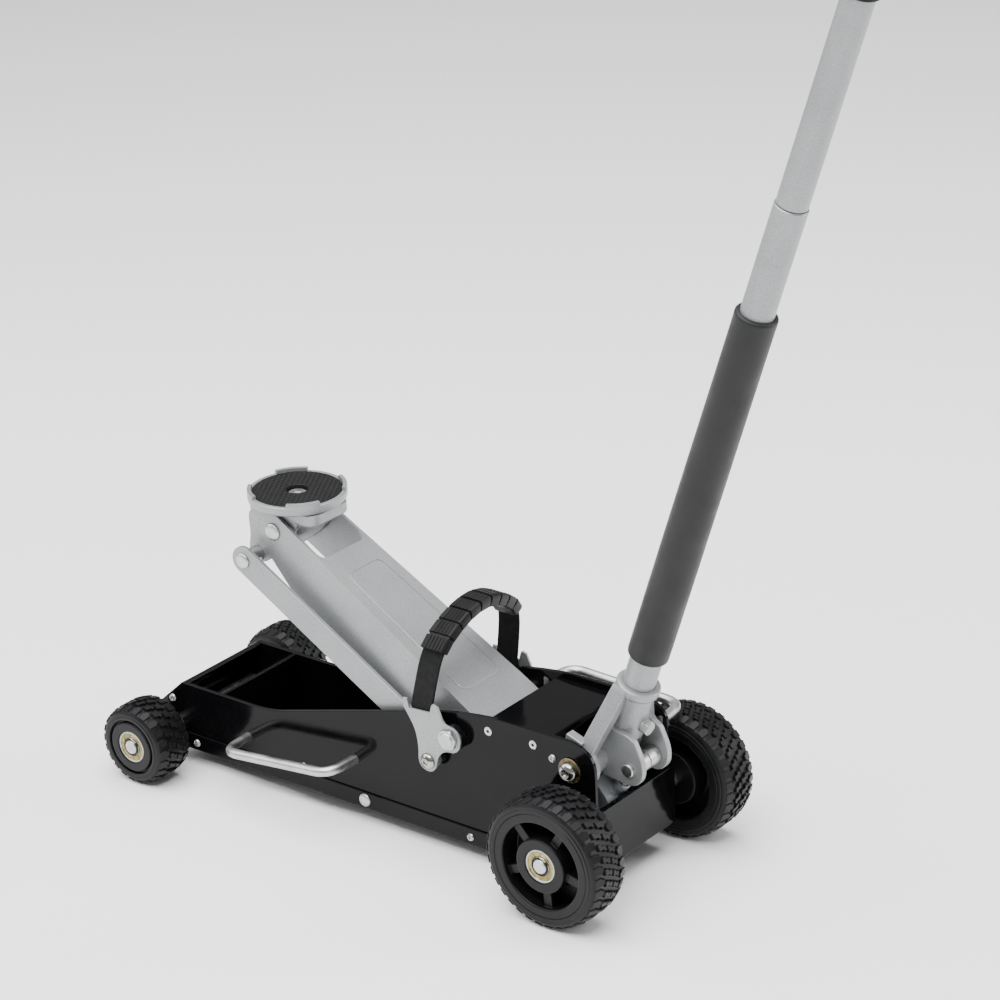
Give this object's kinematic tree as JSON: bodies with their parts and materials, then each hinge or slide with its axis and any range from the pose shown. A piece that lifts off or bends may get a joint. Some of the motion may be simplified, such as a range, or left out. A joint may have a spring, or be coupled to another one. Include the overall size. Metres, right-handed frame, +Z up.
{
  "type": "hydraulic floor jack",
  "caption": "Low trolley jack with knobby wheels, raised lift arm and swivel saddle, side bars, a strap carry handle and a long two-piece pump handle with a foam sleeve.",
  "frame": {"origin": "on the floor, under the middle of the whole object including its handle", "axes": "+Z up, +X from the saddle end toward the handle, -Y the side called near"},
  "size_m": [1.0414, 0.3126, 1.1889],
  "materials": {
    "black_gloss_paint": "gloss black powder coat",
    "silver_hammertone": "silver-grey fine hammertone enamel",
    "zinc_steel": "bright zinc plating",
    "black_oxide_steel": "black oxide",
    "cast_block": "painted grey casting",
    "bronze_washer": "dull bronze",
    "moulded_rubber": "matt moulded rubber",
    "foam": "fine closed-cell foam",
    "webbing": "woven black webbing",
    "wheel_rubber": "solid knobby rubber",
    "bearing_steel": "polished races with a tinted shield"
  },
  "bodies": {
    "chassis": {"side_plate_near": "black_gloss_paint", "side_plate_far": "black_gloss_paint", "skid_tray": "black_gloss_paint", "front_panel": "black_gloss_paint", "front_cross_plate": "black_gloss_paint", "top_cover": "black_gloss_paint", "front_axle": "zinc_steel", "rear_axle": "zinc_steel", "cross_brace": "zinc_steel", "side_bar_near": "zinc_steel", "side_bar_far": "zinc_steel", "arm_shaft": "zinc_steel", "shaft_nut_near": "black_oxide_steel", "shaft_nut_far": "black_oxide_steel", "link_bolt_near": "zinc_steel", "link_bolt_far": "zinc_steel", "yoke_washer_near": "bronze_washer", "yoke_washer_far": "bronze_washer", "yoke_bolt_near": "zinc_steel", "yoke_bolt_far": "zinc_steel", "ram_cylinder": "black_oxide_steel", "reservoir_tank": "silver_hammertone", "power_block": "cast_block", "return_spring_near": "zinc_steel", "return_spring_far": "zinc_steel", "carry_bracket_near": "silver_hammertone", "carry_bracket_far": "silver_hammertone", "carry_strap": "webbing", "carry_grip": "moulded_rubber"},
    "lift_arm": {"lift_arm": "silver_hammertone", "horn_pin": "zinc_steel"},
    "links": {"link_bar_near": "silver_hammertone", "link_bar_far": "silver_hammertone"},
    "head": {"head_bracket": "silver_hammertone", "head_pin": "zinc_steel", "link_head_pin": "zinc_steel"},
    "saddle": {"saddle": "silver_hammertone", "saddle_pad": "moulded_rubber", "saddle_bolt": "zinc_steel"},
    "ram": {"ram_rod": "zinc_steel", "crosshead": "black_oxide_steel"},
    "socket": {"handle_socket": "silver_hammertone", "roller_pin": "zinc_steel", "clamp_bolt": "zinc_steel"},
    "roller": {"pump_roller": "zinc_steel"},
    "handle": {"handle_lower": "silver_hammertone", "handle_upper": "silver_hammertone", "foam_sleeve": "foam", "hand_grip": "moulded_rubber"},
    "valve": {"release_valve": "zinc_steel"},
    "plungers": {"pump_plunger_near": "zinc_steel", "pump_plunger_far": "zinc_steel"},
    "front_wheel_near": {"front_wheel_near": "wheel_rubber", "front_bearing_near": "bearing_steel"},
    "front_wheel_far": {"front_wheel_far": "wheel_rubber", "front_bearing_far": "bearing_steel"},
    "rear_wheel_near": {"rear_wheel_near": "wheel_rubber", "rear_bearing_near": "bearing_steel"},
    "rear_wheel_far": {"rear_wheel_far": "wheel_rubber", "rear_bearing_far": "bearing_steel"}
  },
  "joints": [
    {"name": "arm_lift", "type": "hinge", "parent": "chassis", "child": "lift_arm", "pos_m": [-0.03238, 0, 0.155], "axis": [0, 1, 0], "range_deg": [-29.5, 26.5], "deforming": ["return_spring_near", "return_spring_far"]},
    {"name": "link_swing", "type": "hinge", "parent": "chassis", "child": "links", "pos_m": [-0.06438, 0, 0.118], "axis": [0, 1, 0], "range_deg": [-29.5, 26.5]},
    {"name": "head_level", "type": "hinge", "parent": "lift_arm", "child": "head", "pos_m": [-0.32038, 0, 0.326], "axis": [0, 1, 0], "range_deg": [-26.5, 29.5]},
    {"name": "saddle_swivel", "type": "hinge", "parent": "head", "child": "saddle", "pos_m": [-0.31468, 0, 0.355], "axis": [0, 0, 1], "continuous": true},
    {"name": "ram_stroke", "type": "slide", "parent": "chassis", "child": "ram", "axis": [-1, 0, 0], "range_m": [-0.025, 0.0225]},
    {"name": "handle_pump", "type": "hinge", "parent": "chassis", "child": "socket", "pos_m": [0.12962, 0, 0.157], "axis": [0, 1, 0], "range_deg": [-18, 22]},
    {"name": "roller_turn", "type": "hinge", "parent": "socket", "child": "roller", "pos_m": [0.17762, 0, 0.15187], "axis": [0, 1, 0], "continuous": true},
    {"name": "handle_twist", "type": "hinge", "parent": "socket", "child": "handle", "pos_m": [0.14132, 0, 0.15291], "axis": [0.33, 0, 0.944], "range_deg": [0, 135]},
    {"name": "valve_turn", "type": "hinge", "parent": "chassis", "child": "valve", "pos_m": [0.14132, 0, 0.15291], "axis": [0.33, 0, 0.944], "range_deg": [0, 135]},
    {"name": "plunger_stroke", "type": "slide", "parent": "chassis", "child": "plungers", "axis": [-0.6, 0, -0.8], "range_m": [-0.013, 0.016]},
    {"name": "front_wheel_near_spin", "type": "hinge", "parent": "chassis", "child": "front_wheel_near", "pos_m": [-0.47038, -0.128, 0.0503], "axis": [0, 1, 0], "continuous": true},
    {"name": "front_wheel_far_spin", "type": "hinge", "parent": "chassis", "child": "front_wheel_far", "pos_m": [-0.47038, 0.128, 0.0503], "axis": [0, 1, 0], "continuous": true},
    {"name": "rear_wheel_near_spin", "type": "hinge", "parent": "chassis", "child": "rear_wheel_near", "pos_m": [0.14612, -0.125, 0.0788], "axis": [0, 1, 0], "continuous": true},
    {"name": "rear_wheel_far_spin", "type": "hinge", "parent": "chassis", "child": "rear_wheel_far", "pos_m": [0.14612, 0.125, 0.0788], "axis": [0, 1, 0], "continuous": true}
  ],
  "couplings": [
    {"joint": "link_swing", "follows": "arm_lift", "ratio": 1},
    {"joint": "head_level", "follows": "arm_lift", "ratio": -1},
    {"joint": "ram_stroke", "follows": "arm_lift", "m_per_rad": 0.0483},
    {"joint": "plunger_stroke", "follows": "handle_pump", "m_per_rad": 0.041},
    {"joint": "valve_turn", "follows": "handle_twist", "ratio": 1}
  ]
}
